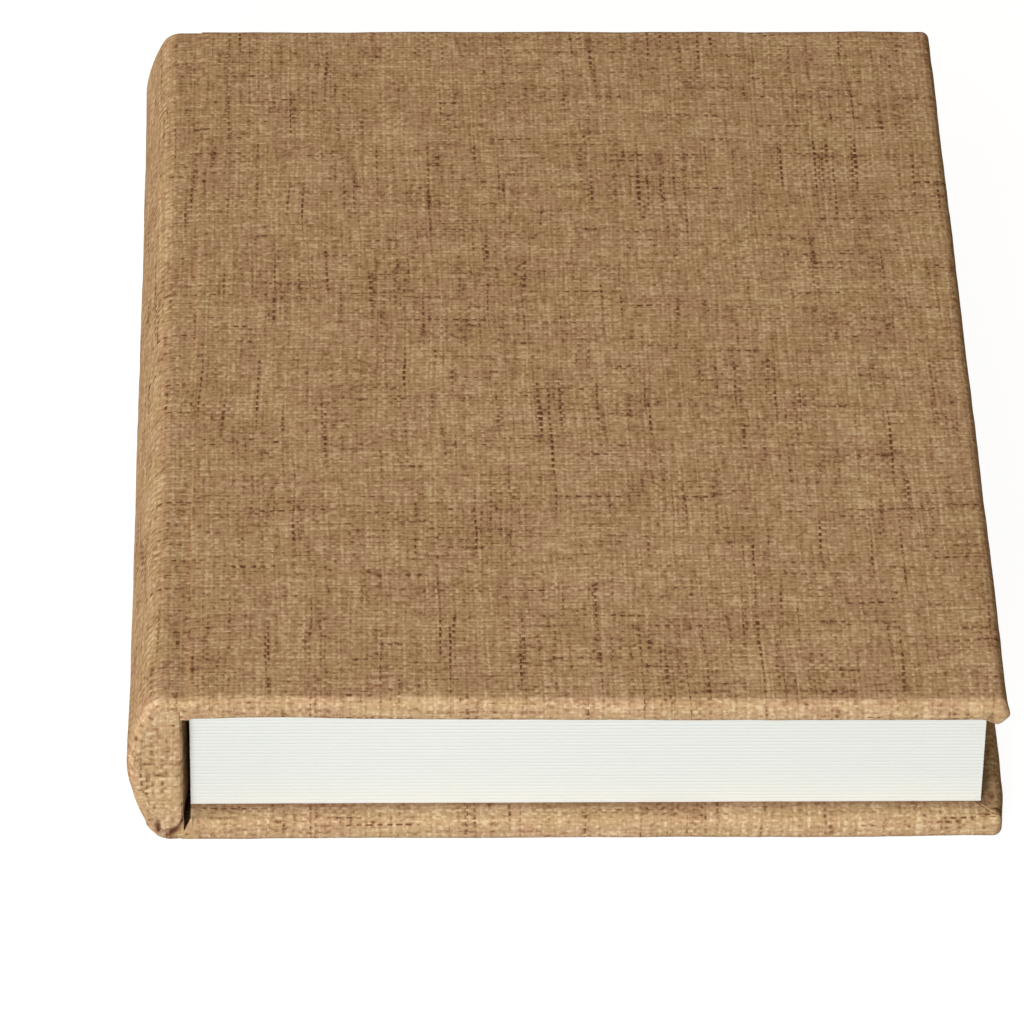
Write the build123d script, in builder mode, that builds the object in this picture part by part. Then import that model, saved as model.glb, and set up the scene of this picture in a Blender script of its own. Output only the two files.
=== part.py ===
# A cloth-covered book box: a case of two boards and a rounded spine round a tray whose walls look like pages.
# X runs from the spine to the fore-edge, Y from the tail to the head, Z up.
# The origin is at the middle of the underside.

from build123d import *
import os

# Overall size of the closed box, and how far the lid stops short of the base at the fore-edge
case_width = 201.0
case_depth = 266.0
case_height = 42.3
lid_setback = 1.0

# Boards and the cloth that covers them
board_thickness = 5.0
cloth_thickness = 0.7
board_edge_radius = 0.9
board_corner_radius = 1.4
turn_in_width = 15.0
mitre_width = 0.4
mitre_depth = 0.3
mitre_angle = 45

# Spine: a solid rounded block hinged to both boards
spine_thickness = 12.8
spine_flat_width = 6.4
spine_shoulder_radius = 5.0
hinge_gap = 1.6
hinge_dip = 0.35
hinge_end_inset = 0.9

# Tray, set back from the edges of the boards
tail_overhang = 6.2
fore_edge_overhang = 4.8
wall_thickness = 3.0
tray_floor_thickness = 1.5
lining_thickness = 0.3
lid_clearance = 0.3
lid_lining_margin = 4.0

# Strips on the walls that look like the edges of leaves
pages_thickness = 1.0
leaf_pitch = 1.0
leaf_relief = 0.08

# Small reach of a cut past the face that it opens
cut_reach = 1.0

# Places that follow from the sizes
fore_edge_x = case_width / 2
lid_edge_x = fore_edge_x - lid_setback
head_y = case_depth / 2
core_head_y = head_y - cloth_thickness
bulge_x = -case_width / 2
spine_inner_x = bulge_x + spine_thickness
hinge_x = spine_inner_x + hinge_gap
covered_thickness = board_thickness + 2 * cloth_thickness
case_edge_radius = board_edge_radius + cloth_thickness
case_corner_radius = board_corner_radius + cloth_thickness
turn_in_y = core_head_y - turn_in_width
lid_turn_in_x = lid_edge_x - cloth_thickness - turn_in_width
joint_cloth_x = hinge_x + turn_in_width

tray_left_x = hinge_x
tray_right_x = fore_edge_x - fore_edge_overhang
tray_head_y = head_y - tail_overhang
tray_bottom_z = covered_thickness
tray_top_z = case_height - covered_thickness - lining_thickness - lid_clearance
wall_top_z = tray_top_z - lining_thickness
wall_left_x = tray_left_x + cloth_thickness
wall_right_x = tray_right_x - pages_thickness
wall_head_y = tray_head_y - pages_thickness
room_left_x = wall_left_x + wall_thickness
room_right_x = wall_right_x - wall_thickness
room_head_y = wall_head_y - wall_thickness
floor_top_z = tray_bottom_z + tray_floor_thickness

os.makedirs("parts", exist_ok=True)


def save(builder, name):
    """Label a finished piece and write it to its own file."""
    builder.part.label = name
    export_step(builder.part, f"parts/{name}.step")


def block(low_x, high_x, low_y, high_y, low_z, high_z):
    """A plain sheet, strip or wall between two corners."""
    with BuildPart() as piece:
        with BuildSketch(Plane.XY.offset(low_z)):
            with Locations(((low_x + high_x) / 2, (low_y + high_y) / 2)):
                Rectangle(high_x - low_x, high_y - low_y)
        extrude(amount=high_z - low_z)
    return piece


def rounded_slab(low_z, edge_x, inset, thickness, corner_radius, edge_radius):
    """A board with eased edges at the head, tail and fore-edge, and square along the hinge."""
    with BuildPart() as slab:
        with BuildSketch(Plane.XY.offset(low_z)):
            with Locations(((hinge_x + edge_x - inset) / 2, 0)):
                Rectangle(edge_x - inset - hinge_x, case_depth - 2 * inset)
        extrude(amount=thickness)
        fillet(slab.edges().filter_by(Axis.Z).group_by(Axis.X)[-1], radius=corner_radius)
        rims = slab.edges().filter_by(lambda edge: edge.bounding_box().size.Z < edge_radius / 2)
        fillet(rims.filter_by(lambda edge: edge.center().X > hinge_x + cut_reach), radius=edge_radius)
    return slab


def bare_board(low_z, edge_x):
    """The stiff board inside one cover, which starts one cloth above low_z."""
    return rounded_slab(
        low_z + cloth_thickness, edge_x, cloth_thickness, board_thickness, board_corner_radius, board_edge_radius
    )


def board_cloth(low_z, edge_x, inner_side, board):
    """Cloth glued on a board's outer face, over three edges and in on its inner face, mitred at two corners."""
    outer_skin = rounded_slab(low_z, edge_x, 0, covered_thickness, case_corner_radius, case_edge_radius)
    inner_z = low_z + covered_thickness if inner_side > 0 else low_z
    turn_in_x = edge_x - cloth_thickness - turn_in_width
    mitre_length = 2 * turn_in_width
    with BuildPart() as cloth:
        add(outer_skin.part)
        add(board.part, mode=Mode.SUBTRACT)
        with BuildSketch(Plane.XY.offset(inner_z)):
            with Locations(((hinge_x - cut_reach + turn_in_x) / 2, 0)):
                Rectangle(turn_in_x - hinge_x + cut_reach, 2 * turn_in_y)
        extrude(amount=-inner_side * (cloth_thickness + board_edge_radius), mode=Mode.SUBTRACT)
        for side in (-1, 1):
            with BuildSketch(Plane.XY.offset(inner_z)):
                with Locations((turn_in_x + turn_in_width / 2, side * (turn_in_y + turn_in_width / 2))):
                    Rectangle(mitre_length, mitre_width, rotation=side * mitre_angle)
            extrude(amount=-inner_side * mitre_depth, mode=Mode.SUBTRACT)
    return cloth


# Base: the lower board and its cloth
base_board = bare_board(0, fore_edge_x)
save(base_board, "base_board")

base_cloth = board_cloth(0, fore_edge_x, 1, base_board)
save(base_cloth, "base_cloth")

base_inner_z = covered_thickness - cloth_thickness
base_joint_cloth = block(hinge_x, joint_cloth_x, -turn_in_y, turn_in_y, base_inner_z, covered_thickness)
save(base_joint_cloth, "base_joint_cloth")

# Tray: a floor and four walls that stand on the turned-in cloth of the base
tray_floor = block(room_left_x, room_right_x, -room_head_y, room_head_y, tray_bottom_z, floor_top_z)
save(tray_floor, "tray_floor")

tray_tail_wall = block(wall_left_x, wall_right_x, -wall_head_y, -room_head_y, tray_bottom_z, wall_top_z)
save(tray_tail_wall, "tray_tail_wall")

tray_head_wall = block(wall_left_x, wall_right_x, room_head_y, wall_head_y, tray_bottom_z, wall_top_z)
save(tray_head_wall, "tray_head_wall")

tray_fore_edge_wall = block(room_right_x, wall_right_x, -room_head_y, room_head_y, tray_bottom_z, wall_top_z)
save(tray_fore_edge_wall, "tray_fore_edge_wall")

tray_spine_wall = block(wall_left_x, room_left_x, -room_head_y, room_head_y, tray_bottom_z, wall_top_z)
save(tray_spine_wall, "tray_spine_wall")

tray_spine_cloth = block(tray_left_x, wall_left_x, -wall_head_y, wall_head_y, tray_bottom_z, tray_top_z)
save(tray_spine_cloth, "tray_spine_cloth")

# Paper inside the walls, turned over their top edges
room_width = room_right_x - room_left_x
room_middle_x = (room_left_x + room_right_x) / 2
wall_middle_x = (wall_left_x + wall_right_x) / 2
with BuildPart() as tray_wall_lining:
    with BuildSketch(Plane.XY.offset(floor_top_z)):
        with Locations((room_middle_x, 0)):
            Rectangle(room_width, 2 * room_head_y)
            Rectangle(room_width - 2 * lining_thickness, 2 * (room_head_y - lining_thickness), mode=Mode.SUBTRACT)
    extrude(amount=tray_top_z - floor_top_z)
    with BuildSketch(Plane.XY.offset(wall_top_z)):
        with Locations((wall_middle_x, 0)):
            Rectangle(wall_right_x - wall_left_x, 2 * wall_head_y)
        with Locations((room_middle_x, 0)):
            Rectangle(room_width - lining_thickness, 2 * room_head_y - lining_thickness, mode=Mode.SUBTRACT)
    extrude(amount=lining_thickness)
save(tray_wall_lining, "tray_wall_lining")

tray_floor_lining = block(
    room_left_x + lining_thickness,
    room_right_x - lining_thickness,
    -room_head_y + lining_thickness,
    room_head_y - lining_thickness,
    floor_top_z,
    floor_top_z + lining_thickness,
)
save(tray_floor_lining, "tray_floor_lining")

# Page strips: card ribbed like the edges of leaves, mitred where two of them meet
pages_height = tray_top_z - tray_bottom_z
leaf_count = max(2, round(pages_height / leaf_pitch))
leaf_height = pages_height / leaf_count


def page_section(face, outward):
    """Outline of a page strip: a flat back, and one shallow swell for each bundle of leaves."""
    back = face - outward * pages_thickness
    valley = face - outward * leaf_relief
    with BuildLine() as outline:
        for leaf in range(leaf_count):
            low_z = tray_bottom_z + leaf * leaf_height
            ThreePointArc((valley, low_z), (face, low_z + leaf_height / 2), (valley, low_z + leaf_height))
        Line((valley, tray_top_z), (back, tray_top_z))
        Line((back, tray_top_z), (back, tray_bottom_z))
        Line((back, tray_bottom_z), (valley, tray_bottom_z))
    return outline


with BuildPart() as tail_pages:
    with BuildSketch(Plane.YZ.offset(tray_left_x)):
        add(page_section(-tray_head_y, -1).line)
        make_face()
    extrude(amount=tray_right_x - tray_left_x)
    split(bisect_by=Plane(origin=(tray_right_x, -tray_head_y, 0), z_dir=(1, 1, 0)), keep=Keep.BOTTOM)
save(tail_pages, "tail_pages")

with BuildPart() as head_pages:
    with BuildSketch(Plane.YZ.offset(tray_left_x)):
        add(page_section(tray_head_y, 1).line)
        make_face()
    extrude(amount=tray_right_x - tray_left_x)
    split(bisect_by=Plane(origin=(tray_right_x, tray_head_y, 0), z_dir=(1, -1, 0)), keep=Keep.BOTTOM)
save(head_pages, "head_pages")

with BuildPart() as fore_edge_pages:
    with BuildSketch(Plane.XZ):
        add(page_section(tray_right_x, 1).line)
        make_face()
    extrude(amount=tray_head_y, both=True)
    split(bisect_by=Plane(origin=(tray_right_x, -tray_head_y, 0), z_dir=(1, 1, 0)), keep=Keep.TOP)
    split(bisect_by=Plane(origin=(tray_right_x, tray_head_y, 0), z_dir=(1, -1, 0)), keep=Keep.TOP)
save(fore_edge_pages, "fore_edge_pages")

# Spine: a solid block with a flat inner face, a swelling back and rounded shoulders
spine_shoulder_x = spine_inner_x - spine_flat_width


def spine_solid(inset, end_radius):
    """The spine drawn out along its length, shrunk by inset, with both ends eased except along its flat face."""
    with BuildPart() as solid:
        with BuildSketch(Plane.XZ) as section:
            with BuildLine():
                ThreePointArc((spine_shoulder_x, case_height), (bulge_x, case_height / 2), (spine_shoulder_x, 0))
                Line((spine_shoulder_x, 0), (spine_inner_x, 0))
                Line((spine_inner_x, 0), (spine_inner_x, case_height))
                Line((spine_inner_x, case_height), (spine_shoulder_x, case_height))
            make_face()
            fillet(section.vertices().group_by(Axis.X)[0], radius=spine_shoulder_radius)
            if inset > 0:
                offset(amount=-inset, kind=Kind.INTERSECTION, mode=Mode.REPLACE)
        extrude(amount=head_y - inset, both=True)
        ends = solid.faces().filter_by(Axis.Y).edges()
        flat_x = spine_inner_x - inset
        fillet(ends.filter_by(lambda edge: edge.center().X < flat_x - end_radius / 2), radius=end_radius)
    return solid


spine_outer = spine_solid(0, case_edge_radius)
spine_block = spine_solid(cloth_thickness, board_edge_radius)
save(spine_block, "spine_block")

spine_lining = block(
    spine_inner_x - cloth_thickness,
    spine_inner_x,
    -core_head_y,
    core_head_y,
    cloth_thickness,
    case_height - cloth_thickness,
)
save(spine_lining, "spine_lining")

with BuildPart() as spine_cloth:
    add(spine_outer.part)
    split(bisect_by=Plane.XZ.offset(core_head_y), keep=Keep.BOTTOM)
    split(bisect_by=Plane.XZ.offset(-core_head_y), keep=Keep.TOP)
    add(spine_block.part, mode=Mode.SUBTRACT)
    add(spine_lining.part, mode=Mode.SUBTRACT)
save(spine_cloth, "spine_cloth")

with BuildPart() as spine_tail_cloth:
    add(spine_outer.part)
    split(bisect_by=Plane.XZ.offset(core_head_y), keep=Keep.TOP)
save(spine_tail_cloth, "spine_tail_cloth")

with BuildPart() as spine_head_cloth:
    add(spine_outer.part)
    split(bisect_by=Plane.XZ.offset(-core_head_y), keep=Keep.BOTTOM)
save(spine_head_cloth, "spine_head_cloth")


def hinge_strip(outer_z, inward):
    """The run of cloth across one gap, which sinks a little between the spine and the board."""
    middle_x = (spine_inner_x + hinge_x) / 2
    inner_z = outer_z + inward * cloth_thickness
    dip_z = inward * hinge_dip
    with BuildPart() as strip:
        with BuildSketch(Plane.XZ):
            with BuildLine():
                ThreePointArc((spine_inner_x, outer_z), (middle_x, outer_z + dip_z), (hinge_x, outer_z))
                Line((hinge_x, outer_z), (hinge_x, inner_z))
                ThreePointArc((hinge_x, inner_z), (middle_x, inner_z + dip_z), (spine_inner_x, inner_z))
                Line((spine_inner_x, inner_z), (spine_inner_x, outer_z))
            make_face()
        extrude(amount=head_y - hinge_end_inset, both=True)
    return strip


lower_hinge_cloth = hinge_strip(0, 1)
save(lower_hinge_cloth, "lower_hinge_cloth")

upper_hinge_cloth = hinge_strip(case_height, -1)
save(upper_hinge_cloth, "upper_hinge_cloth")

# Lid: the upper board, its cloth, and the lining of its underside
lid_low_z = case_height - covered_thickness
lid_board = bare_board(lid_low_z, lid_edge_x)
save(lid_board, "lid_board")

lid_cloth = board_cloth(lid_low_z, lid_edge_x, -1, lid_board)
save(lid_cloth, "lid_cloth")

lid_inner_z = lid_low_z + cloth_thickness
lid_joint_cloth = block(hinge_x, joint_cloth_x, -turn_in_y, turn_in_y, lid_low_z, lid_inner_z)
save(lid_joint_cloth, "lid_joint_cloth")

with BuildPart() as lid_lining:
    with BuildSketch(Plane.XY.offset(lid_low_z)):
        with Locations(((hinge_x + lid_edge_x) / 2, 0)):
            Rectangle(lid_edge_x - hinge_x - 2 * lid_lining_margin, case_depth - 2 * lid_lining_margin)
    extrude(amount=-lining_thickness)
    with BuildSketch(Plane.XY.offset(lid_low_z)):
        with Locations(((joint_cloth_x + lid_turn_in_x) / 2, 0)):
            Rectangle(lid_turn_in_x - joint_cloth_x, 2 * turn_in_y)
    extrude(amount=cloth_thickness)
save(lid_lining, "lid_lining")

# Sizes that follow, for whoever changes one
fold_x = (spine_inner_x + hinge_x) / 2
print("tray inside, mm:", round(room_width - 2 * lining_thickness, 2), "by", 2 * (room_head_y - lining_thickness))
print("tray depth, mm:", round(tray_top_z - floor_top_z - lining_thickness, 2))
print("swells in each page strip:", leaf_count, "each", round(leaf_height, 3), "mm high")
print("fold lines at x, mm:", round(fold_x, 3))
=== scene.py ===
import math

import bmesh
import bpy
from mathutils import Matrix, Vector, noise


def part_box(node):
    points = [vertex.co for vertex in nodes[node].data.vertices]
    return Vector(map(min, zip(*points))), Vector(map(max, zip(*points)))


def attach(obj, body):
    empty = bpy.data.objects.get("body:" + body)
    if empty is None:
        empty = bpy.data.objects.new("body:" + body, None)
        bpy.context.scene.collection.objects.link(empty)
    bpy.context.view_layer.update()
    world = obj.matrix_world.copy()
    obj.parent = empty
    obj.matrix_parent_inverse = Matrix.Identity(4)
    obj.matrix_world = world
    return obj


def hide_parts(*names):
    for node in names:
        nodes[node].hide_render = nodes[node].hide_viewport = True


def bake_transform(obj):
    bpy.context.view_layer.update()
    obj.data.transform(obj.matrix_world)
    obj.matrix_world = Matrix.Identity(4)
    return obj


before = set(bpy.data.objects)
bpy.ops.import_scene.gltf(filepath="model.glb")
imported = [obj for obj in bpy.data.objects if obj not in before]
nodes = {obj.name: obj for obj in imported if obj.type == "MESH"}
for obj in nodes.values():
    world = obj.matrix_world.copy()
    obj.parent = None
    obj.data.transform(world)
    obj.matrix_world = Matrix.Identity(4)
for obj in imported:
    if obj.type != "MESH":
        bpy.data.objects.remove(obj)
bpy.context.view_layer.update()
bpy.ops.object.select_all(action="DESELECT")
bpy.context.scene.view_settings.view_transform = "Standard"

# Boards. Each cover holds a sheet of grey recycled board, cut with a knife and eased along its edges.
# The tray is cut from the same board, glued up from a floor and four walls.


class Wire:
    """A value inside a material. Arithmetic on it adds Math nodes, and node() adds any other node."""

    def __init__(self, tree, socket=None):
        self.tree = tree
        self.socket = socket

    def node(self, kind, settings, inputs, output=0):
        made = self.tree.nodes.new(kind)
        for name, value in settings.items():
            setattr(made, name, value)
        for key, value in inputs.items():
            if isinstance(value, Wire):
                self.tree.links.new(value.socket, made.inputs[key])
            else:
                made.inputs[key].default_value = value
        return Wire(self.tree, made.outputs[output])

    def maths(self, operation, *values):
        return self.node("ShaderNodeMath", {"operation": operation}, dict(enumerate(values)))

    def __add__(self, other):
        return self.maths("ADD", self, other)

    __radd__ = __add__

    def __sub__(self, other):
        return self.maths("SUBTRACT", self, other)

    def __rsub__(self, other):
        return self.maths("SUBTRACT", other, self)

    def __mul__(self, other):
        return self.maths("MULTIPLY", self, other)

    __rmul__ = __mul__

    def __truediv__(self, other):
        return self.maths("DIVIDE", self, other)


def paint(red, green, blue):
    """A colour as it looks on a screen, 0 to 255, turned into the light that a material works in."""
    linear = [(level / 255 / 12.92) if level <= 10 else ((level / 255 + 0.055) / 1.055) ** 2.4
              for level in (red, green, blue)]
    return (*linear, 1.0)


def new_material(name, roughness, specular=0.3):
    """A material with its one shader, and a wire to build the rest of it on."""
    material = bpy.data.materials.new(name)
    material.use_nodes = True
    shader = material.node_tree.nodes["Principled BSDF"]
    shader.inputs["Roughness"].default_value = roughness
    shader.inputs["Specular IOR Level"].default_value = specular
    return material, shader, Wire(material.node_tree)


def place_mm(start):
    """The place on a piece in millimetres, as three wires."""
    place = start.node("ShaderNodeTexCoord", {}, {}, "Object")
    scaled = start.node("ShaderNodeVectorMath", {"operation": "SCALE"}, {0: place, "Scale": 1000.0})
    split = [start.node("ShaderNodeSeparateXYZ", {}, {0: scaled}, axis) for axis in ("X", "Y", "Z")]
    return split


def join(x, y, z=0.0):
    """Three wires or numbers as one vector."""
    wire = next(value for value in (x, y, z) if isinstance(value, Wire))
    return wire.node("ShaderNodeCombineXYZ", {}, {"X": x, "Y": y, "Z": z})


def cloudy(vector, detail=2.0, roughness=0.5):
    """Noise at one cycle for each unit of the vector."""
    return vector.node(
        "ShaderNodeTexNoise",
        {"noise_dimensions": "3D"},
        {"Vector": vector, "Scale": 1.0, "Detail": detail, "Roughness": roughness},
        "Fac",
    )


def between(value, low, high):
    """A smooth step from 0 at low to 1 at high."""
    return value.node(
        "ShaderNodeMapRange",
        {"interpolation_type": "SMOOTHSTEP"},
        {"Value": value, "From Min": low, "From Max": high},
    )


def blend_colour(share, first, second):
    """The second colour over the first, by a share."""
    return share.node(
        "ShaderNodeMix",
        {"data_type": "RGBA"},
        {"Factor": share, 6: first, 7: second},
        2,
    )


def connect(shader, colour, height, relief):
    """Send a colour, and a height in shares of a relief in metres, into the shader."""
    bump = height.node(
        "ShaderNodeBump",
        {},
        {"Strength": 1.0, "Distance": relief, "Height": height},
    )
    height.tree.links.new(colour.socket, shader.inputs["Base Color"])
    height.tree.links.new(bump.socket, shader.inputs["Normal"])


board_dark = paint(136, 128, 116)
board_light = paint(170, 162, 148)
board_layer = paint(150, 140, 124)
board_speck = paint(96, 88, 78)
board_relief = 0.00008


def make_grey_board():
    material, shader, start = new_material("grey_board", 0.9, specular=0.2)
    x, y, z = place_mm(start)
    fibre = cloudy(join(x * 0.9, y * 0.9, z * 2.5), detail=5.0, roughness=0.7)
    layers = cloudy(join(x * 0.05, y * 0.05, z * 3.0), detail=1.0)
    speck = between(cloudy(join(x * 2.2, y * 2.2, z * 2.2), detail=0.0), 0.68, 0.74)
    colour = blend_colour(between(fibre, 0.3, 0.7), board_dark, board_light)
    colour = blend_colour(between(layers, 0.35, 0.65) * 0.35, colour, board_layer)
    colour = blend_colour(speck * 0.6, colour, board_speck)
    connect(shader, colour, fibre + layers * 0.5, board_relief)
    return material


grey_board = make_grey_board()


def dress(node, material):
    """A CAD node whose shape is right keeps it, and gets its finish."""
    nodes[node].data.materials.clear()
    nodes[node].data.materials.append(material)


for board_node in ("base_board", "lid_board", "tray_floor", "tray_tail_wall",
                   "tray_head_wall", "tray_fore_edge_wall", "tray_spine_wall"):
    dress(board_node, grey_board)

# Spine block. A planed length of pale wood with a rounded back, which gives the spine its shape.
# The cloth hides it on every side, and its grain runs from tail to head.


late_wood = paint(196, 160, 112)
early_wood = paint(222, 190, 143)
wood_pore = paint(158, 120, 78)
wood_relief = 0.00006


def make_spine_wood():
    material, shader, start = new_material("planed_wood", 0.6)
    x, y, z = place_mm(start)
    warp = cloudy(join(x * 0.05, y * 0.01, z * 0.05), detail=1.0)
    rings = cloudy(join(x * 0.5 + warp * 4.0, y * 0.012, z * 0.5), detail=3.0)
    pores = cloudy(join(x * 4.0, y * 0.15, z * 4.0), detail=2.0)
    colour = blend_colour(between(rings, 0.3, 0.7), late_wood, early_wood)
    colour = blend_colour(between(pores, 0.6, 0.7) * 0.5, colour, wood_pore)
    connect(shader, colour, rings + pores * 0.4, wood_relief)
    return material


dress("spine_block", make_spine_wood())

# Case cloth. One linen bookcloth covers everything: a plain weave of slubby tan thread, with dark
# red-brown flecks where a thick or stained stretch of yarn comes to the top. The cover of the base is
# glued round the board, over three edges and in on its inner face, with its corners folded and mitred.

thread_pitch = 1.15
thread_relief = 0.00007
warm_tan = paint(204, 171, 128)
rosy_tan = paint(206, 169, 132)
pale_yarn = paint(240, 213, 173)
dark_yarn = paint(164, 124, 90)
stained_yarn = paint(112, 68, 52)
# Painted shade: the dark red-brown that the cloth takes where shade falls in folds, gaps and hollows.
painted_fold_shade = paint(92, 46, 32)


def cloth_map(start):
    """Place along the weft and along the warp, in millimetres, read from the piece's own cloth map."""
    mapped = start.node("ShaderNodeUVMap", {"uv_map": "cloth"}, {})
    return [start.node("ShaderNodeSeparateXYZ", {}, {0: mapped}, axis) for axis in ("X", "Y")]


def make_linen(name, weft_axis=None):
    """Linen on a piece with a cloth map, or on a flat one, with its warp along Y and weft along an axis."""
    material, shader, start = new_material(name, 0.95, specular=0.05)
    if weft_axis is None:
        u, v = cloth_map(start)
    else:
        x, y, z = place_mm(start)
        u, v = {"X": x, "Z": z}[weft_axis], y

    # The threads wander a little, and each passes over and under the next one in turn.
    drift = cloudy(join(u * 0.012, v * 0.012, 3.0), detail=2.0)
    warp_shift = cloudy(join(u * 0.5, v * 0.07, 41.0), detail=1.0)
    weft_shift = cloudy(join(u * 0.07, v * 0.5, 43.0), detail=1.0)
    warp_place = u / thread_pitch + drift * 3.0 + warp_shift * 0.9
    weft_place = v / thread_pitch + drift * 3.0 + weft_shift * 0.9
    warp_wave = (warp_place * math.pi).maths("SINE", warp_place * math.pi)
    weft_wave = (weft_place * math.pi).maths("SINE", weft_place * math.pi)
    crossing = warp_wave * weft_wave
    warp_height = (warp_wave * warp_wave + crossing) * 0.5
    weft_height = (weft_wave * weft_wave - crossing) * 0.5
    warp_on_top = between(warp_height - weft_height, -0.55, 0.4)
    height = weft_height + (warp_height - weft_height) * warp_on_top

    # Each yarn has its own tone along its length, slubs where it is thick, and now and then a dark thread.
    float_tone = cloudy(join(warp_place * 1.1, weft_place * 1.1, 61.0), detail=0.0)
    warp_yarn = cloudy(join(warp_place * 0.9, v * 0.06, 1.0), detail=2.0, roughness=0.6)
    weft_yarn = cloudy(join(u * 0.06, weft_place * 0.9, 7.0), detail=2.0, roughness=0.6)
    yarn = weft_yarn + (warp_yarn - weft_yarn) * warp_on_top
    warp_band = cloudy(join(u * 0.12, v * 0.02, 29.0), detail=2.0)
    weft_band = cloudy(join(u * 0.02, v * 0.12, 31.0), detail=2.0)
    band = weft_band + (warp_band - weft_band) * warp_on_top
    warp_slub = cloudy(join(u * 0.6, v * 0.2, 47.0), detail=1.0)
    weft_slub = cloudy(join(u * 0.2, v * 0.6, 53.0), detail=1.0)
    slub = warp_slub.maths("MAXIMUM", warp_slub, weft_slub)
    tint = cloudy(join(u * 0.08, v * 0.08, 17.0), detail=1.0)
    fuzz = cloudy(join(u * 0.5, v * 0.7, 23.0), detail=1.0)

    warp_streak = between(cloudy(join(warp_place * 0.8, v * 0.022, 71.0), detail=1.0), 0.58, 0.72)
    weft_streak = between(cloudy(join(u * 0.035, weft_place * 0.8, 73.0), detail=1.0), 0.6, 0.74)
    streak = weft_streak + (warp_streak - weft_streak) * warp_on_top

    # How much darker than the middle tone each place is, and how much painted shade the piece marks on it.
    dark = (yarn - 0.5) * 0.75 + (band - 0.5) * 0.4 + (slub - 0.56) * 0.45
    dark = dark + (float_tone - 0.5) * 0.34 + (fuzz - 0.5) * 0.3
    dark = dark + streak * 0.2 - 0.012
    painted_shade = start.node("ShaderNodeAttribute", {"attribute_name": "painted_shade"}, {}, "Fac")
    colour = blend_colour(between(tint, 0.35, 0.65), warm_tan, rosy_tan)
    colour = blend_colour(between(dark, 0.0, -0.22) * 0.9, colour, pale_yarn)
    colour = blend_colour(between(dark, 0.0, 0.16) * 0.75, colour, dark_yarn)
    colour = blend_colour(between(dark, 0.14, 0.28) * 0.85, colour, stained_yarn)
    # Painted shade, darker and redder, where a piece marks its folds, gaps and hollows as shaded.
    colour = blend_colour(between(painted_shade, 0.0, 1.0), colour, painted_fold_shade)
    connect(shader, colour, height + (yarn - 0.5) * 0.4 + (slub - 0.5) * 0.6, thread_relief)
    return material


linen = make_linen("linen")

# A swell is the size of its waves and their depth. A hair is a length too small to matter.
cloth_thickness = 0.0007
cloth_skin = 0.0006
wide_swell = (0.024, 0.00022)
fine_swell = (0.006, 0.00010)
swell_reach = 0.005
turn_in_width = 0.015
rim_radius = 0.0021
rim_steps = 7
grid_step = 0.0018
hair = 1e-6
mitre_reach = 0.0003
mitre_drop = 0.00025


def begin(name):
    """Name the primitive that was just added, put its place into its mesh, and open it for modelling."""
    piece = bpy.context.active_object
    piece.name = name
    piece.data.name = name
    bpy.ops.object.transform_apply(location=True, rotation=True, scale=True)
    bpy.ops.object.mode_set(mode="EDIT")
    return piece


def choose(piece, element, test):
    """In edit mode, select the faces, edges or vertices that pass a test, and nothing else."""
    bpy.ops.mesh.select_mode(type={"faces": "FACE", "edges": "EDGE", "verts": "VERT"}[element])
    bpy.ops.mesh.select_all(action="DESELECT")
    mesh = bmesh.from_edit_mesh(piece.data)
    for item in getattr(mesh, element):
        if test(item):
            item.select_set(True)
    bmesh.update_edit_mesh(piece.data)


def middle(edge):
    return (edge.verts[0].co + edge.verts[1].co) / 2


def along(edge, axis):
    """Whether an edge runs along an axis."""
    run = edge.verts[1].co - edge.verts[0].co
    return abs(run[axis]) > 0.99 * run.length


def cut(piece, axis, place, test=lambda face: True):
    """Cut the faces that pass a test with a plane square to an axis."""
    choose(piece, "faces", test)
    point = Vector((0, 0, 0))
    point[axis] = place
    normal = Vector((0, 0, 0))
    normal[axis] = 1
    bpy.ops.mesh.bisect(plane_co=point, plane_no=normal)


def divide(piece, axis, step):
    """Cut every long edge that runs along an axis into steps of about one length."""
    lengths = {}
    mesh = bmesh.from_edit_mesh(piece.data)
    for edge in mesh.edges:
        if along(edge, axis) and edge.calc_length() > 1.5 * step:
            lengths.setdefault(round(edge.calc_length(), 6), None)
    for length in sorted(lengths):
        def wanted(edge):
            return along(edge, axis) and abs(edge.calc_length() - length) < 2 * hair
        choose(piece, "edges", wanted)
        bpy.ops.mesh.subdivide(number_cuts=max(1, round(length / step) - 1))


def end(piece, smooth_angle=40):
    """Close the modelling of a piece and shade its soft edges smooth."""
    bpy.ops.mesh.select_all(action="SELECT")
    bpy.ops.mesh.remove_doubles(threshold=5 * hair)
    bpy.ops.mesh.normals_make_consistent(inside=False)
    bpy.ops.object.mode_set(mode="OBJECT")
    bpy.ops.object.shade_smooth_by_angle(angle=math.radians(smooth_angle))


def finish_with(piece, kind, **settings):
    """Add one modifier to the active piece and apply it."""
    modifier = piece.modifiers.new(kind.lower(), kind)
    for name, value in settings.items():
        setattr(modifier, name, value)
    bpy.ops.object.modifier_apply(modifier=modifier.name)


def thicken(piece, thickness):
    """Give a skin its thickness, inwards, and keep its new edges crisp."""
    finish_with(piece, "SOLIDIFY", thickness=thickness, offset=-1)
    bpy.ops.object.shade_smooth_by_angle(angle=math.radians(40))


def swell(piece, size, depth, seed, share=lambda place: 1):
    """Lift and sink the skin a little, as glued cloth lies, by noise of one size."""
    offset = Vector((seed * 3.1, seed * 1.7, seed * 2.3))
    normals = [vertex.normal.copy() for vertex in piece.data.vertices]
    for vertex, normal in zip(piece.data.vertices, normals):
        vertex.co += normal * depth * share(vertex.co) * noise.noise(vertex.co / size + offset)


def ease(share):
    """A share from 0 to 1, eased at both ends."""
    share = min(max(share, 0.0), 1.0)
    return share * share * (3 - 2 * share)


def push(piece, centre, radius, move):
    """Move the skin round a point, most at the point and none at the radius."""
    for vertex in piece.data.vertices:
        vertex.co += move * ease(1 - (vertex.co - centre).length / radius)


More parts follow.
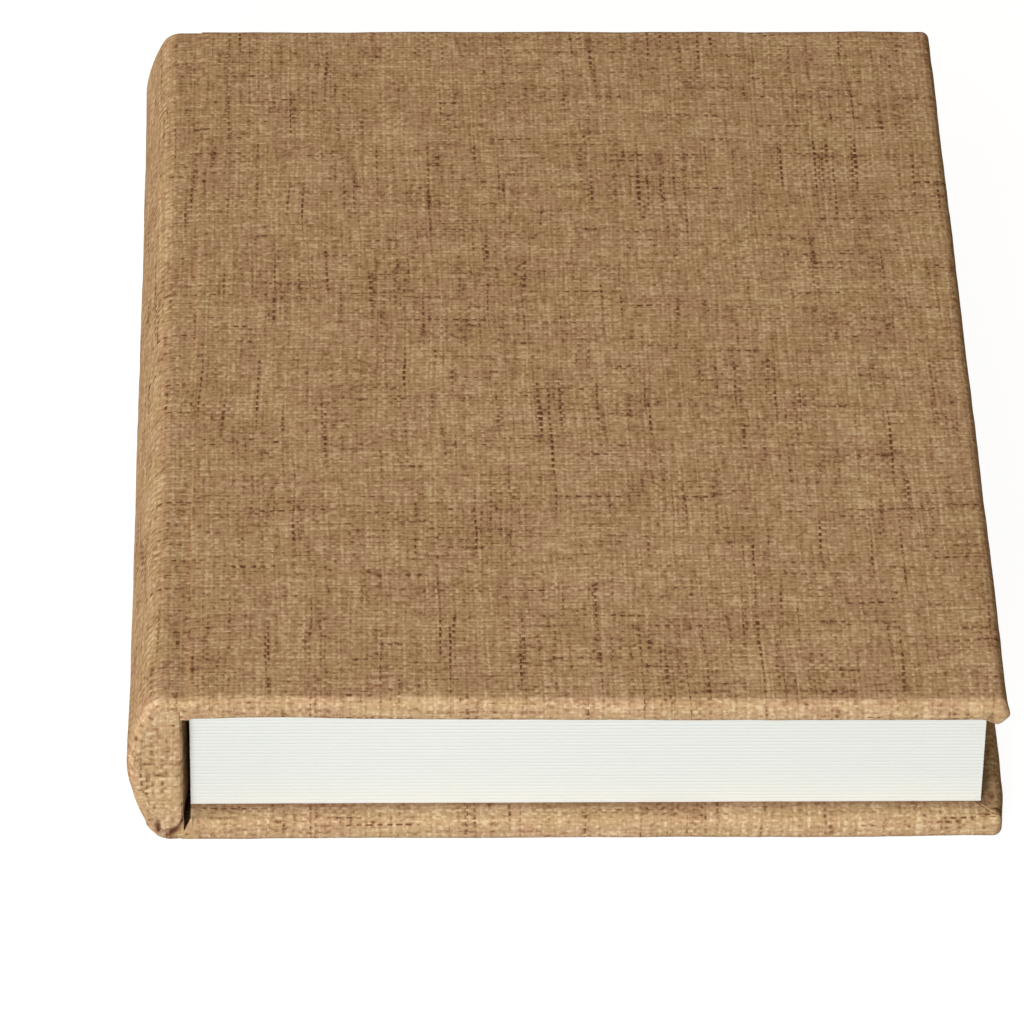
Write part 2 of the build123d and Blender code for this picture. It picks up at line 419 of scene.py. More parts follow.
def lay_on_board(piece, low, high, outer_z):
    """Write the cloth map of a cover: flat over the outer face, down each rim and in under the board."""
    thickness = high.z - low.z
    layer = piece.data.uv_layers.new(name="cloth")
    for face in piece.data.polygons:
        middle_depth = abs(face.center.z - outer_z)
        to_fore_edge = high.x - face.center.x
        to_end = high.y - abs(face.center.y)
        for loop in face.loop_indices:
            place = piece.data.vertices[piece.data.loops[loop].vertex_index].co
            depth = abs(place.z - outer_z)
            u, v = place.x, place.y
            if to_fore_edge < to_end:
                u = 2 * high.x - u if middle_depth > thickness / 2 else u
                u += depth
            else:
                reach = 2 * high.y - abs(v) if middle_depth > thickness / 2 else abs(v)
                v = math.copysign(reach + depth, v)
            layer.data[loop].uv = (u * 1000, v * 1000)


def open_cover(name, node, outward):
    """A slab opened at the hinge and on its inner face, with soft rims and mitres, left in edit mode."""
    low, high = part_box(node)
    inner_z = low.z if outward > 0 else high.z
    window_x = high.x - cloth_thickness - turn_in_width
    window_y = high.y - cloth_thickness - turn_in_width
    bpy.ops.mesh.primitive_cube_add(size=1, location=(low + high) / 2, scale=high - low)
    piece = begin(name)
    choose(piece, "faces", lambda face: face.normal.x < -0.9)
    bpy.ops.mesh.delete(type="FACE")
    cut(piece, 0, window_x)
    cut(piece, 1, window_y)
    cut(piece, 1, -window_y)

    def in_window(face):
        centre = face.calc_center_median()
        return abs(centre.z - inner_z) < hair and centre.x < window_x and abs(centre.y) < window_y

    choose(piece, "faces", in_window)
    bpy.ops.mesh.delete(type="FACE")

    def on_rim(edge):
        place = middle(edge)
        beyond = place.x > high.x - hair or abs(place.y) > high.y - hair
        corner = along(edge, 2) and place.x > high.x - hair and abs(place.y) > high.y - hair
        level = not along(edge, 2) and (abs(place.z - low.z) < hair or abs(place.z - high.z) < hair)
        crossing = along(edge, 0) and abs(abs(place.y) - high.y) > hair
        crossing = crossing or (along(edge, 1) and abs(place.x - high.x) > hair)
        return corner or (beyond and level and not crossing)

    choose(piece, "edges", on_rim)
    bpy.ops.mesh.bevel(offset=rim_radius, segments=rim_steps, affect="EDGES", clamp_overlap=True)
    divide(piece, 0, grid_step)
    divide(piece, 1, grid_step)
    divide(piece, 2, grid_step / 2)
    for side in (-1, 1):
        def in_corner(face):
            centre = face.calc_center_median()
            flat = abs(centre.z - inner_z) < hair
            return flat and centre.x > window_x - hair and side * centre.y > window_y - hair
        for offset in (-mitre_reach, 0, mitre_reach):
            choose(piece, "faces", in_corner)
            bpy.ops.mesh.bisect(plane_co=(window_x + offset, side * window_y, 0), plane_no=(1, -side, 0))

        def on_mitre(vertex):
            lean = (vertex.co.x - window_x) - (side * vertex.co.y - window_y)
            inside = vertex.co.x > window_x + 0.001 and abs(vertex.co.z - inner_z) < hair
            return inside and abs(lean) < hair and side * vertex.co.y > window_y

        choose(piece, "verts", on_mitre)
        bpy.ops.transform.translate(value=(0, 0, mitre_drop * outward))
    return piece


def mark_painted_shade(piece, share):
    """Store how much painted shade each place gets, where shade falls in a fold, gap or hollow."""
    layer = piece.data.attributes.new("painted_shade", "FLOAT", "POINT")
    for vertex, value in zip(piece.data.vertices, layer.data):
        value.value = share(vertex.co)


def close_cover(piece, node, body, outward, pushes):
    """Let the skin of a cover swell, push it about, thicken it, and put it in place of its CAD cloth."""
    low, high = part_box(node)
    end(piece)

    def off_the_hinge(place):
        return ease((place.x - low.x) / swell_reach)

    swell(piece, *wide_swell, 1 + outward, off_the_hinge)
    swell(piece, *fine_swell, 5 + outward, off_the_hinge)
    for centre, radius, move in pushes:
        push(piece, Vector(centre), radius, Vector(move))
    thicken(piece, cloth_skin)
    lay_on_board(piece, low, high, high.z if outward > 0 else low.z)
    piece.data.materials.append(linen)
    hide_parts(node)
    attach(piece, body)


def cut_finely(piece, corner, reach, step):
    """Cut the faces round a corner into small ones, both ways."""
    for axis in (0, 1):
        inward = -math.copysign(step, corner[axis])
        for count in range(1, round(reach / step)):
            def is_near(face):
                return (face.calc_center_median() - corner).length < reach
            cut(piece, axis, corner[axis] + inward * count, is_near)


foot_reach = 0.0044
foot_steps = 4
foot_shade = 0.52
edge_bow = 0.0008
bow_reach = 0.012
corner_reach = 0.007
corner_step = 0.0007

base_low, base_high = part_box("base_cloth")
base_cover = open_cover("base_cover", "base_cloth", -1)
foot_y = -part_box("tail_pages")[0].y
foot_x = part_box("tail_pages")[1].x
for step in range(foot_steps + 1):
    cut(base_cover, 1, foot_y + step * foot_reach / foot_steps)
    cut(base_cover, 1, -foot_y - step * foot_reach / foot_steps)
    cut(base_cover, 0, foot_x + step * foot_reach / foot_steps)
base_corner = Vector((base_high.x, base_low.y, base_low.z))
cut_finely(base_cover, base_corner, corner_reach, corner_step)
for vertex in bmesh.from_edit_mesh(base_cover.data).verts:
    from_edge = base_high.x - vertex.co.x
    from_end = base_high.y - abs(vertex.co.y)
    vertex.co.x += edge_bow * ease(1 - from_edge / bow_reach) * ease(from_end / bow_reach)
close_cover(base_cover, "base_cloth", "base", -1, (
    (base_corner + Vector((-0.0014, 0.0018, base_high.z)), 0.0019, (0.0003, -0.0003, 0.0004)),
))


def at_the_pages(place):
    """Along the foot of the page strips, where the cloth is in their shade."""
    beyond = max(abs(place.y) - foot_y, place.x - foot_x)
    return foot_shade * ease(1 - beyond / foot_reach) if place.z > base_high.z - 0.001 else 0


mark_painted_shade(base_cover, at_the_pages)

# Lid cover. The upper board is wrapped in the same way as the lower one. At the tail its fore-edge
# corner is folded a little loosely: the fold stands out past the edge and hangs below it. The cloth
# lies a little high beside the upper fold, with a thinner rim below, and droops a little towards the
# fore-edge.

corner_lift = 0.0006
lift_reach = 0.06
lift_slope = 0.05
lid_droop = 0.00045
droop_reach = 0.03
droop_start = 0.05
droop_rim = 0.008
rim_thinning = 0.00026
thin_reach = 0.003
fold_corner_reach = 0.008
fold_corner_step = 0.0006
hollow_shade = 0.7
hollow_radius = 0.0018

lid_low, lid_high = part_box("lid_cloth")
lid_cover = open_cover("lid_cover", "lid_cloth", 1)
loose_corner = Vector((lid_high.x, lid_low.y, lid_low.z))
cut_finely(lid_cover, loose_corner, fold_corner_reach, fold_corner_step)
close_cover(lid_cover, "lid_cloth", "lid", 1, (
    (loose_corner + Vector((-0.0002, 0.0006, 0.0020)), 0.0032, (0.0010, -0.0002, -0.0002)),
    (loose_corner + Vector((-0.0024, 0.0012, 0.0002)), 0.0030, (0.0003, -0.0001, -0.0013)),
    (loose_corner + Vector((-0.0036, 0.0, 0.0016)), 0.0016, (0.0, 0.0006, 0.0002)),
))


def beside_the_fold(place):
    """Painted shade in the small hollow left of the loose fold."""
    hollow = loose_corner + Vector((-0.0036, 0.0, 0.0014))
    return hollow_shade * ease(1 - (place - hollow).length / hollow_radius)


def clear_of_lining(place):
    """1 at the rim of the lid and on its upper face, and 0 on its inner face, where the lining paper lies."""
    lining_low, lining_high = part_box("lid_lining")
    if place.z >= lining_high.z + 0.001 or place.x <= lid_low.x:
        return 1
    return 1 - ease(2 * (place.y - lid_low.y) / (lining_low.y - lid_low.y) - 1)


def lift_corner(piece):
    """Raise the cloth a little on both sides of the upper fold at the tail, as it stands in the photograph.

    It rises slowly from the fold, which leaves room for the lid to turn right over.
    """
    low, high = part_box("upper_hinge_cloth")
    for vertex in piece.data.vertices:
        place = vertex.co
        from_fold = abs(place.x - (low.x + high.x) / 2)
        share = ease(1 - from_fold / lift_reach) * ease(1 - (place.y - base_low.y) / lift_reach)
        share *= 1 - math.exp(-lift_slope * from_fold / corner_lift)
        place.z += corner_lift * share * ease(place.z / high.z) * clear_of_lining(place)


mark_painted_shade(lid_cover, beside_the_fold)
lift_corner(lid_cover)
for vertex in lid_cover.data.vertices:
    place = vertex.co
    at_tail = ease(1 - (place.y - lid_low.y) / droop_reach)
    droop = ease((place.x + droop_start) / (2 * droop_start)) * at_tail * clear_of_lining(place)
    place.z -= lid_droop * droop
    place.y -= lid_droop * droop * ease(1 - (place.y - lid_low.y) / droop_rim)
    thinning = ease(1 - (place.x - lid_low.x) / lift_reach) * ease(1 - (place.y - lid_low.y) / thin_reach)
    place.z += rim_thinning * thinning * ease(1 - (place.z - lid_low.z) / thin_reach)

# Spine cloth. The case cloth goes on round the spine block, from the upper fold over the rounded back
# to the lower fold, and turns in over both ends with a soft rim, which is wider at the foot.

spine_shoulder = 0.005
spine_flat = 0.0064
end_rim = 0.0022
rim_proud = 0.00015
shoulder_steps = 8
back_steps = 24

tail_low, tail_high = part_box("spine_tail_cloth")
spine_top = tail_high.z
tail_y = tail_low.y
head_y = -tail_y
back_x = tail_low.x
inner_x = tail_high.x
half_height = spine_top / 2
sagitta = inner_x - spine_flat - back_x
back_radius = (half_height ** 2 + sagitta ** 2) / (2 * sagitta)
back_centre = Vector((back_x + back_radius, 0, half_height))
shoulder_z = spine_top - spine_shoulder
shoulder_run = math.sqrt((back_radius - spine_shoulder) ** 2 - (shoulder_z - half_height) ** 2)
shoulder_x = back_centre.x - shoulder_run
shoulder_turn = math.atan2(shoulder_run, shoulder_z - half_height)
back_turn = math.pi - 2 * shoulder_turn


def round_spine(place):
    """How far a place is round the spine from the middle of its back, and how deep below the surface."""
    level = abs(place.z - half_height)
    lean = math.atan2(level, back_centre.x - place.x)
    if lean <= back_turn / 2:
        run = back_radius * lean
        depth = back_radius - math.hypot(level, back_centre.x - place.x)
        return math.copysign(run, place.z - half_height), depth
    across = place.x - shoulder_x
    up = level - (shoulder_z - half_height)
    if across < 0:
        turn = math.atan2(up, -across)
        depth = spine_shoulder - math.hypot(up, across)
    else:
        turn = math.pi / 2
        depth = half_height - level
    run = back_radius * back_turn / 2 + spine_shoulder * (turn - back_turn / 2) + max(across, 0)
    return math.copysign(run, place.z - half_height), depth


half_girth = round_spine(Vector((inner_x, 0, spine_top)))[0]


def lay_on_spine(piece):
    """Write the cloth map of the spine, on from the lid: round the back and in over the ends."""
    layer = piece.data.uv_layers.new(name="cloth")
    for face in piece.data.polygons:
        for loop in face.loop_indices:
            place = piece.data.vertices[piece.data.loops[loop].vertex_index].co
            run, depth = round_spine(place)
            reach = abs(place.y) + max(depth, 0)
            u = inner_x - half_girth + run
            layer.data[loop].uv = (u * 1000, math.copysign(reach, place.y) * 1000)


def lay_flat(piece, weft_axis, warp_axis):
    """Write the cloth map of a piece that is nearly flat."""
    layer = piece.data.uv_layers.new(name="cloth")
    for loop in piece.data.loops:
        place = piece.data.vertices[loop.vertex_index].co
        layer.data[loop.index].uv = (place[weft_axis] * 1000, place[warp_axis] * 1000)


bpy.ops.mesh.primitive_plane_add(size=1, location=((shoulder_x + inner_x) / 2, 0, spine_top))
bpy.context.active_object.scale = (inner_x - shoulder_x, head_y - tail_y, 1)
spine_wrap = begin("spine_wrap")
choose(spine_wrap, "edges", lambda edge: along(edge, 1) and middle(edge).x < shoulder_x + 10 * hair)
for steps, turn, turn_centre in (
    (shoulder_steps, shoulder_turn, Vector((shoulder_x, 0, shoulder_z))),
    (back_steps, back_turn, back_centre),
    (shoulder_steps, shoulder_turn, Vector((shoulder_x, 0, spine_shoulder))),
):
    bpy.ops.mesh.spin(steps=steps, angle=turn, center=turn_centre, axis=(0, 1, 0))
bpy.ops.mesh.extrude_region_move(TRANSFORM_OT_translate={"value": (inner_x - shoulder_x, 0, 0)})
bpy.ops.mesh.select_all(action="SELECT")
bpy.ops.mesh.remove_doubles(threshold=10 * hair)
for end_y in (tail_y, head_y):
    choose(spine_wrap, "edges", lambda edge: abs(middle(edge).y - end_y) < hair)
    bpy.ops.mesh.edge_face_add()


def on_end_outline(edge):
    place = middle(edge)
    return abs(abs(place.y) - head_y) < hair and place.x < inner_x - hair


choose(spine_wrap, "edges", on_end_outline)
bpy.ops.mesh.bevel(offset=end_rim, segments=rim_steps, affect="EDGES", clamp_overlap=True)
divide(spine_wrap, 1, grid_step)
divide(spine_wrap, 0, grid_step)

# End cloths. At tail and head a piece of the same cloth covers the end of the block, let in below the rim.
# It comes away here from the end faces of the spine cloth, and both are gathered at the foot.

lip_width = 0.0006
lip_steps = 2
cap_step = 0.0006
cap_thickness = 0.0004
cap_round = 0.0012
cap_sink = 0.00002
cap_tuck = 0.0003
gather_reach = 0.009
ring_width = end_rim + lip_width
groove_reach = 0.0019
side_groove = 0.00004
foot_groove_depth = 0.0004
gather_shade = 0.75
gather_width = 0.004
foot_middle = inner_x - 0.0045
foot_swell = 0.0003
foot_pull = 0.0006
pull_reach = 0.012
pull_top = 0.022
tuck_height = 0.0038
knuckle_height = 0.0014
knuckle_reach = 0.0016
end_flare = 0.00035
flare_reach = 0.035
flare_foot = 0.010
flare_run = 0.018
back_run = 0.008
crinkle_height = 0.00018
rise_by_fold = 0.0035
rise_by_back = 0.0011
rise_limit = 0.008
line_reach = 0.0015
line_least = 0.45
line_wander = 0.0005
wander_cycles = (900, 500, 5.5)
bunch_cycles = (1000, 260, 2.5)
tuck_share = 0.8
knuckle_share = 0.5
crinkle_rate = 2900
crinkle_drift = 1.3
drift_rate = 1100
coarse_pucker = (0.005, 0.00016)
fine_pucker = (0.0018, 0.00010)


def is_end(face, side):
    """Whether a face is the flat end at one side."""
    return side * face.normal.y > 0.999 and abs(abs(face.calc_center_median().y) - head_y) < hair


for side in (-1, 1):
    choose(spine_wrap, "faces", lambda face: is_end(face, side))
    for step in range(lip_steps):
        bpy.ops.mesh.inset(thickness=lip_width / lip_steps, use_boundary=False)
    bpy.ops.mesh.separate(type="SELECTED")
end(spine_wrap)
caps = [piece for piece in bpy.context.selected_objects if piece is not spine_wrap]


def ripple(place, cycles):
    """Noise over an end, from its cycles a metre across and up, and its seed."""
    across, up, seed = cycles
    return noise.noise(Vector((place.x * across, place.z * up, seed)))


def in_the_line(place):
    """How much painted shade a place at the foot of an end gets, in the line between rim and cap or in a
    gather by it.
    """
    depth = round_spine(place)[1]
    at_foot = ease(1 - (place.z - ring_width) / gather_reach)
    wander = line_wander * ripple(place, wander_cycles)
    bunched = ripple(place, bunch_cycles)
    line = line_least + (1 - line_least) * ease(0.6 + 2.6 * bunched)
    line *= ease(1 - abs(depth + wander - ring_width) / groove_reach)
    gather = ease(bunched * 3.2) * gather_shade * ease(1 - abs(depth - ring_width) / gather_width)
    return at_foot * max(line, gather)


def shape_end(piece, side):
    """Sink an end along the line between rim and cap, gather both at the foot, and draw the foot in."""
    # Painted shade along the line between rim and cap and in the gathers at the foot.
    mark_painted_shade(piece, lambda place: in_the_line(place) if side * place.y > head_y - end_rim else 0)
    for vertex in piece.data.vertices:
        place = vertex.co
        from_end = head_y - side * place.y
        pull = foot_pull * ease((pull_top - place.z) / pull_reach)
        pull -= foot_pull * tuck_share * ease(1 - abs(place.z - tuck_height) / knuckle_reach)
        pull += foot_pull * knuckle_share * ease(1 - abs(place.z - knuckle_height) / knuckle_reach)
        flare = end_flare * ease((place.z - flare_foot) / flare_run) * ease(1 - from_end / flare_reach)
        at_back = ease((inner_x - place.x) / back_run)
        if from_end < end_rim:
            depth = round_spine(place)[1]
            at_foot = ease(1 - (place.z - ring_width) / gather_reach)
            near_line = ease(1 - abs(depth - ring_width) / groove_reach)
            groove = side_groove + (foot_groove_depth - side_groove) * at_foot + foot_swell * at_foot
            drift = crinkle_drift * math.sin(place.x * drift_rate)
            crinkle = math.sin(place.x * crinkle_rate + drift) * crinkle_height
            inside = ease(depth / ring_width)
            proud = rim_proud * (1 - abs(depth / end_rim - 1)) if depth < 2 * end_rim else 0
            proud += foot_swell * at_foot * at_back * ease(depth / end_rim)
            proud += crinkle * at_foot * inside * at_back
            lean = (place.x - foot_middle) / (inner_x - foot_middle)
            rise = (rise_by_fold if lean > 0 else rise_by_back) * lean ** 2
            place.y += side * (proud - groove * near_line)
            place.z += min(rise, rise_limit) * inside * at_foot
        place.x += (pull * ease(1 - from_end / pull_reach) - flare) * at_back


def off_the_line(place):
    """Full inside the cap, and nothing along the line where it meets the rim."""
    return ease((round_spine(place)[1] - ring_width) / line_reach)


for piece in caps:
    side = -1 if piece.data.vertices[0].co.y < 0 else 1
    piece.name = "spine_tail_cap" if side < 0 else "spine_head_cap"
    bpy.ops.object.select_all(action="DESELECT")
    piece.select_set(True)
    bpy.context.view_layer.objects.active = piece
    bpy.ops.object.mode_set(mode="EDIT")
    for axis, start_at, stop_at in ((0, back_x, inner_x), (2, 0.0, spine_top)):
        for step in range(1, round((stop_at - start_at) / cap_step)):
            cut(piece, axis, start_at + step * cap_step)
    end(piece)
    for vertex in piece.data.vertices:
        round_off = max(0.0, cap_round - (inner_x - vertex.co.x))
        vertex.co.y -= side * (cap_round - math.sqrt(cap_round ** 2 - round_off ** 2))
    shape_end(piece, side)
    for vertex in piece.data.vertices:
        vertex.co.z += cap_tuck * (vertex.co.z / half_height - 1)
        vertex.co.x -= cap_tuck * (inner_x - vertex.co.x) / (inner_x - back_x)
        vertex.co.y -= side * cap_sink
    swell(piece, *coarse_pucker, 9 + side, off_the_line)
    swell(piece, *fine_pucker, 12 + side, off_the_line)
    thicken(piece, cap_thickness)
    lift_corner(piece)
    lay_flat(piece, 0, 2)
    piece.data.materials.append(linen)
    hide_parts("spine_tail_cloth" if side < 0 else "spine_head_cloth")
    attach(piece, "spine")

bunch_width = 0.006
bunch_height = 0.012
bunch_pucker = (0.0026, 0.0005)
still_reach = 0.003

bpy.ops.object.select_all(action="DESELECT")
spine_wrap.select_set(True)
bpy.context.view_layer.objects.active = spine_wrap
for side in (-1, 1):
    shape_end(spine_wrap, side)


def off_the_folds(place):
    """Full on the back of the spine, and nothing where the folds join it."""
    return ease((inner_x - place.x) / still_reach)


def at_the_feet(place):
    """Most at the two lower corners, where the turned-in cloth is bunched."""
    at_end = ease(1 - (head_y - abs(place.y)) / bunch_width)
    return at_end * ease(1 - place.z / bunch_height) * off_the_folds(place)


swell(spine_wrap, *wide_swell, 3, off_the_folds)
swell(spine_wrap, *fine_swell, 7, off_the_folds)
swell(spine_wrap, *bunch_pucker, 8, at_the_feet)
thicken(spine_wrap, cloth_skin)
lay_on_spine(spine_wrap)
lift_corner(spine_wrap)
spine_wrap.data.materials.append(linen)
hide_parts("spine_cloth")
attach(spine_wrap, "spine")

# Folds. Between the spine and each board the cloth runs on by itself across a narrow gap, sinks a little
# there, and is turned in at both ends.

fold_dip = 0.00002
fold_lap = 0.0004
fold_sink = 0.00001
fold_steps = 8
foot_slope = 0.6
upper_end_drop = 0.0052
lower_end_drop = 0.0072


def lay_over_end(piece, outer_z):
    """Write the cloth map of a fold: flat along it, and on down its turned-in ends."""
    layer = piece.data.uv_layers.new(name="cloth")
    for loop in piece.data.loops:
        place = piece.data.vertices[loop.vertex_index].co
        reach = abs(place.y) + abs(place.z - outer_z)
        layer.data[loop.index].uv = (place.x * 1000, math.copysign(reach, place.y) * 1000)


def make_fold(name, node, outward, end_drop):
    """A strip over one gap, with turned-in ends."""
    low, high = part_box(node)
    outer_z = spine_top if outward > 0 else 0.0
    bpy.ops.mesh.primitive_plane_add(size=1, location=((low.x + high.x) / 2, 0, outer_z))
    bpy.context.active_object.scale = (high.x - low.x + 2 * fold_lap, 2 * head_y, 1)
    piece = begin(name)
    choose(piece, "edges", lambda edge: along(edge, 0))
    bpy.ops.mesh.subdivide(number_cuts=fold_steps - 1)
    choose(piece, "edges", lambda edge: abs(middle(edge).y) > head_y - hair)
    bpy.ops.mesh.extrude_edges_move(TRANSFORM_OT_translate={"value": (0, 0, -outward * end_drop)})

    def on_end_rim(edge):
        place = middle(edge)
        return abs(place.y) > head_y - hair and abs(place.z - outer_z) < hair

    choose(piece, "edges", on_end_rim)
    bpy.ops.mesh.bevel(offset=rim_radius, segments=rim_steps, affect="EDGES")
    divide(piece, 1, grid_step)
    divide(piece, 2, grid_step / 2)
    end(piece)
    middle_x = (low.x + high.x) / 2
    for vertex in piece.data.vertices:
        lean = abs(vertex.co.x - middle_x) / (high.x - middle_x)
        bowl = (1 - min(lean, 1) ** 2) ** 2
        drop = abs(vertex.co.z - outer_z) / end_drop
        if outward < 0:
            lean = min(max((high.x - vertex.co.x) / (high.x - low.x), 0), 1)
            vertex.co.z -= foot_slope * end_drop * lean * drop ** 2
        vertex.co.z -= outward * (fold_dip * bowl + fold_sink) * (1 - drop)
        vertex.co.y -= math.copysign(fold_sink + fold_dip * bowl, vertex.co.y) * min(1, drop * 2)
    mesh = piece.data
    facing = sum(face.normal.z * face.area for face in mesh.polygons)
    if facing * outward < 0:
        mesh.flip_normals()
    thicken(piece, cloth_skin)
    lay_over_end(piece, outer_z)
    lift_corner(piece)
    piece.data.materials.append(linen)
    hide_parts(node)
    if outward > 0:
        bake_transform(piece)
    else:
        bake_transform(piece)


make_fold("upper_fold", "upper_hinge_cloth", 1, upper_end_drop)
make_fold("lower_fold", "lower_hinge_cloth", -1, lower_end_drop)

# Inner joint cloths. A strip of the same cloth lines the spine side inside: on the base under the tray,
# on the flat face of the spine, on the outside of the tray and on the underside of the lid.

linen_level = make_linen("linen_level", "X")
linen_upright = make_linen("linen_upright", "Z")
for cloth_node in ("base_joint_cloth", "lid_joint_cloth"):
    dress(cloth_node, linen_level)
dress("tray_spine_cloth", linen_upright)

lining_low, lining_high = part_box("spine_lining")
lining_belly = 0.0011
belly_reach = 0.006
belly_end_margin = 0.004
belly_edge_margin = 0.002
lining_short = 0.001
gap_shade = 0.55
gap_reach = 0.02
lining_size = lining_high - lining_low
bpy.ops.mesh.primitive_cube_add(size=1, location=(lining_low + lining_high) / 2, scale=lining_size)
joint_lining = begin("spine_joint_lining")
divide(joint_lining, 1, grid_step)
divide(joint_lining, 2, grid_step)
end(joint_lining)
for vertex in joint_lining.data.vertices:
    vertex.co.y *= 1 - lining_short / lining_high.y
    if vertex.co.x > lining_high.x - hair:
        inward = ease((lining_high.y - belly_end_margin - abs(vertex.co.y)) / belly_reach)
        to_edge = half_height - abs(vertex.co.z - half_height)
        upward = ease((to_edge - belly_edge_margin) / belly_reach)
        vertex.co.x += lining_belly * inward * upward


def in_the_gap(place):
    """At the two ends of the strip, where the cloth is in the shade of the narrow gap."""
    return gap_shade * ease(1 - (lining_high.y - abs(place.y)) / gap_reach)


mark_painted_shade(joint_lining, in_the_gap)
joint_lining.data.materials.append(linen_upright)
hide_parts("spine_lining")
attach(joint_lining, "spine")

# Linings. Plain cream paper is pasted down on the floor and the walls of the tray and over the tops of
# the walls, and a sheet of it lines the lid, set in from the edges of the turned-in cloth.


cream_dark = paint(232, 229, 216)
cream_light = paint(243, 241, 231)
cream_aged = paint(226, 221, 205)
paper_relief = 0.00003


def make_lining_paper():
    material, shader, start = new_material("cream_paper", 0.85, specular=0.2)
    x, y, z = place_mm(start)
    fibre = cloudy(join(x * 1.5, y * 1.5, z * 1.5), detail=5.0, roughness=0.7)
    tone = cloudy(join(x * 0.03, y * 0.03, z * 0.03), detail=2.0)
    colour = blend_colour(between(fibre, 0.3, 0.7), cream_dark, cream_light)
    colour = blend_colour(between(tone, 0.3, 0.7) * 0.3, colour, cream_aged)
    connect(shader, colour, fibre, paper_relief)
    return material


lining_paper = make_lining_paper()
for paper_node in ("tray_wall_lining", "tray_floor_lining", "lid_lining"):
    dress(paper_node, lining_paper)

# Page strips. Off-white card, ribbed along its length, is glued on the tail, head and fore-edge of the
# tray, where it looks like the edges of a book's leaves. The strips meet in mitres at the corners.


card_cool = paint(242, 247, 244)
card_white = paint(244, 249, 246)
card_fibre = paint(236, 240, 235)
card_relief = 0.00001


def make_page_card():
    material, shader, start = new_material("ribbed_card", 0.7, specular=0.25)
    x, y, z = place_mm(start)
    bend = cloudy(join(x * 0.02, y * 0.02, z * 0.05), detail=1.0)
    leaf = cloudy(join((x + y) * 0.012, 0.0, z * 3.4 + bend * 1.5), detail=2.0, roughness=0.6)
    fibre = cloudy(join(x * 1.2, y * 1.2, z * 4.0), detail=3.0)
    colour = blend_colour(between(leaf, 0.35, 0.65), card_cool, card_white)
    colour = blend_colour(between(fibre, 0.3, 0.7) * 0.2, colour, card_fibre)
    connect(shader, colour, leaf, card_relief)
    return material


page_card = make_page_card()
for page_node in ("tail_pages", "head_pages", "fore_edge_pages"):
    dress(page_node, page_card)

# Stage. A pale floor, white all round for the camera, and the light of the photograph: a wide soft lamp
# in front, low and a little to the left, with warm light from the whole sky on what faces up. A weak
# lamp behind keeps the far sides from going dark.

floor_size = 8.0
floor_drop = 0.00002
floor_grey = 0.2
floor_glow = 0.95
sky_strength = 0.13
bpy.ops.mesh.primitive_plane_add(size=floor_size, location=(0, 0, -floor_drop))
floor = bpy.context.active_object
floor.name = "floor"
floor_paint = bpy.data.materials.new("floor_paint")
floor_paint.use_nodes = True
start = Wire(floor_paint.node_tree)
output = floor_paint.node_tree.nodes["Material Output"]
floor_paint.node_tree.nodes.remove(floor_paint.node_tree.nodes["Principled BSDF"])


def in_sight(start):
    """1 for what the camera sees, straight or in metal or glass, and 0 for the light on the object."""
    camera_ray = start.node("ShaderNodeLightPath", {}, {}, "Is Camera Ray")
    glossy_ray = start.node("ShaderNodeLightPath", {}, {}, "Is Glossy Ray")
    glass_ray = start.node("ShaderNodeLightPath", {}, {}, "Is Transmission Ray")
    return start.maths("MAXIMUM", start.maths("MAXIMUM", camera_ray, glossy_ray), glass_ray)


matt = start.node("ShaderNodeBsdfDiffuse", {}, {"Color": (floor_grey, floor_grey, floor_grey, 1)})
glow = start.node("ShaderNodeEmission", {}, {"Color": (1, 1, 1, 1), "Strength": in_sight(start) * floor_glow})
lit = start.node("ShaderNodeAddShader", {}, {0: matt, 1: glow})
floor_paint.node_tree.links.new(lit.socket, output.inputs["Surface"])
floor.data.materials.append(floor_paint)

world = bpy.data.worlds.new("studio")
bpy.context.scene.world = world
world.use_nodes = True
start = Wire(world.node_tree)
output = world.node_tree.nodes["World Output"]
sky = start.node("ShaderNodeBackground", {}, {"Color": (1.0, 0.76, 0.5, 1), "Strength": sky_strength})
white = start.node("ShaderNodeBackground", {}, {"Color": (1, 1, 1, 1), "Strength": 1.0})
shown = start.node("ShaderNodeMixShader", {}, {0: in_sight(start), 1: sky, 2: white})
world.node_tree.links.new(shown.socket, output.inputs["Surface"])

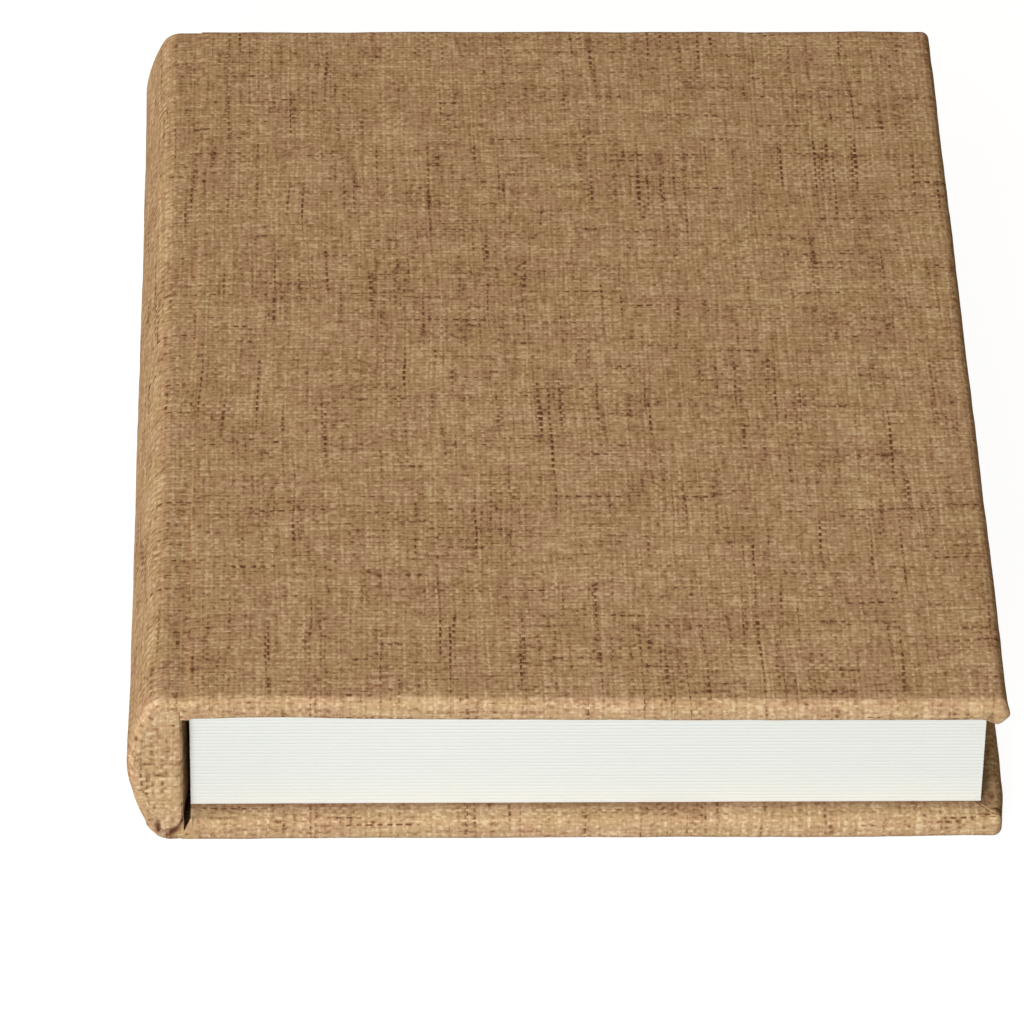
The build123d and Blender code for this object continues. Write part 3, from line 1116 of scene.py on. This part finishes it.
for lamp_name, lamp_place, lamp_aim, lamp_size, lamp_power, lamp_colour in (
    ("key_lamp", (-0.78, -2.4, 0.95), (0, -0.1, 0.02), (1.2, 0.4), 53, (0.99, 1.0, 1.0)),
    ("sky_lamp", (-0.45, 0.1, 1.35), (0, 0, 0), (2.0, 2.0), 2.0, (1.0, 0.67, 0.37)),
    ("side_lamp", (-2.2, -0.4, 0.65), (0, 0, 0.02), (0.8, 0.8), 14, (1.0, 0.93, 0.84)),
    ("fill_lamp", (0.7, -2.2, 0.5), (0, -0.1, 0.02), (0.5, 0.5), 3, (1.0, 0.95, 0.88)),
    ("back_lamp", (-0.4, 2.5, 0.7), (0, 0.1, 0.02), (1.0, 0.6), 9, (1.0, 0.88, 0.72)),
):
    bpy.ops.object.light_add(type="AREA", location=lamp_place)
    lamp = bpy.context.active_object
    lamp.name = lamp_name
    lamp.data.shape = "ELLIPSE"
    lamp.data.size, lamp.data.size_y = lamp_size
    lamp.data.energy = lamp_power
    lamp.data.color = lamp_colour
    lamp.rotation_euler = (Vector(lamp_aim) - Vector(lamp_place)).to_track_quat("-Z", "Y").to_euler()

# Camera. A long lens looks down on the box from in front and a little from the left, rolled by about
# a degree, so that the picture has the outline that the photograph has.

image_side = 1024
focal_pixels = 7145
camera_place = Vector((-0.05559, -1.36831, 1.08363))
look_down = math.radians(38.6)
look_right = math.radians(1.94)
camera_roll = math.radians(1.05)
forward = Vector((
    math.sin(look_right) * math.cos(look_down),
    math.cos(look_right) * math.cos(look_down),
    -math.sin(look_down),
))
level_right = Vector((math.cos(look_right), -math.sin(look_right), 0))
level_up = level_right.cross(forward)
right = level_right * math.cos(camera_roll) + level_up * math.sin(camera_roll)
up = level_up * math.cos(camera_roll) - level_right * math.sin(camera_roll)
bpy.ops.object.camera_add(location=camera_place)
camera = bpy.context.active_object
camera.rotation_euler = Matrix((right, up, -forward)).transposed().to_euler()
camera.data.sensor_width = 36.0
camera.data.lens = camera.data.sensor_width * focal_pixels / image_side
camera.data.clip_start = 0.1
camera.data.clip_end = 50
bpy.context.scene.camera = camera
